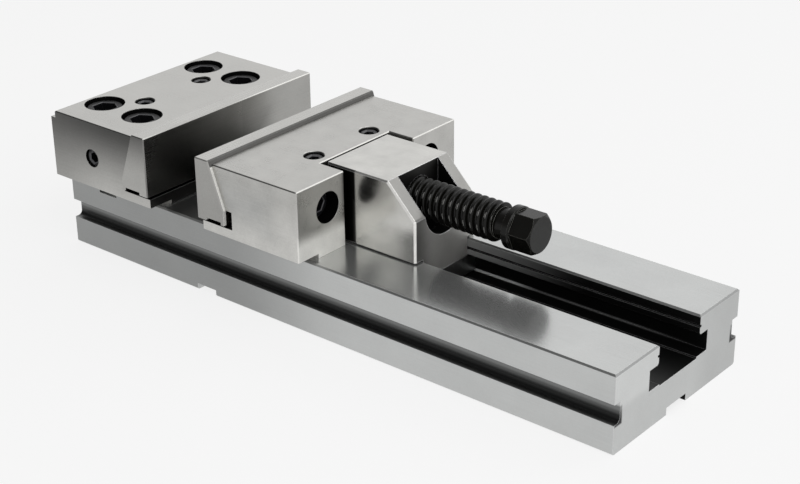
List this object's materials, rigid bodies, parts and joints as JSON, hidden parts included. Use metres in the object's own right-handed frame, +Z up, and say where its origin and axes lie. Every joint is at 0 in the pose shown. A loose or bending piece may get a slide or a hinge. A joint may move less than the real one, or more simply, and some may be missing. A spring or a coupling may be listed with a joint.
{
  "type": "precision machine vise",
  "caption": "Low machine vise with a T-channel base, bolted fixed jaw, sliding moving jaw and a quick-set carriage whose hex-headed spindle feeds the jaw.",
  "frame": {"origin": "middle of the base's underside", "axes": "+X along the base from the fixed jaw to the open end, +Y across it, +Z up"},
  "size_m": [0.422, 0.15, 0.098],
  "materials": {
    "base_steel": "ground, hardened",
    "jaw_steel": "ground, hardened",
    "plate_steel": "fine ground",
    "carriage_steel": "polished",
    "guide_steel": "ground",
    "black_spindle": "black oxide, oiled",
    "black_screws": "black oxide"
  },
  "bodies": {
    "base": {"base": "base_steel", "fixed_jaw_body": "jaw_steel", "fixed_jaw_bolt_1": "black_screws", "fixed_jaw_bolt_2": "black_screws", "fixed_jaw_bolt_3": "black_screws", "fixed_jaw_bolt_4": "black_screws", "fixed_jaw_key": "guide_steel", "fixed_jaw_plate": "plate_steel", "fixed_plate_screw_1": "black_screws", "fixed_plate_screw_2": "black_screws", "fixed_top_plug_1": "black_screws", "fixed_top_plug_2": "black_screws", "side_plug_1": "black_screws", "side_plug_2": "black_screws"},
    "carriage": {"carriage_block": "carriage_steel", "carriage_foot": "guide_steel"},
    "moving_jaw": {"moving_jaw_body": "jaw_steel", "moving_jaw_guide": "guide_steel", "moving_jaw_plate": "plate_steel", "moving_plate_screw_1": "black_screws", "moving_plate_screw_2": "black_screws", "moving_top_plug_1": "black_screws", "moving_top_plug_2": "black_screws", "thrust_cover": "guide_steel"},
    "thrust": {"thrust_block": "guide_steel"},
    "spindle": {"spindle": "black_spindle"}
  },
  "joints": [
    {"name": "quick_set", "type": "slide", "parent": "base", "child": "carriage", "axis": [1, 0, 0], "range_m": [-0.013, 0.15]},
    {"name": "jaw_feed", "type": "slide", "parent": "carriage", "child": "moving_jaw", "axis": [-1, 0, 0], "range_m": [0, 0.03]},
    {"name": "thrust_slide", "type": "slide", "parent": "carriage", "child": "thrust", "axis": [-1, 0, 0], "range_m": [0, 0.03]},
    {"name": "spindle_turn", "type": "hinge", "parent": "thrust", "child": "spindle", "pos_m": [0.1179, 0, 0.077], "axis": [-1, 0, 0], "range_deg": [0, 2165]}
  ],
  "couplings": [
    {"joint": "thrust_slide", "follows": "jaw_feed", "ratio": 1},
    {"joint": "spindle_turn", "follows": "jaw_feed", "rad_per_m": 1256.6}
  ]
}
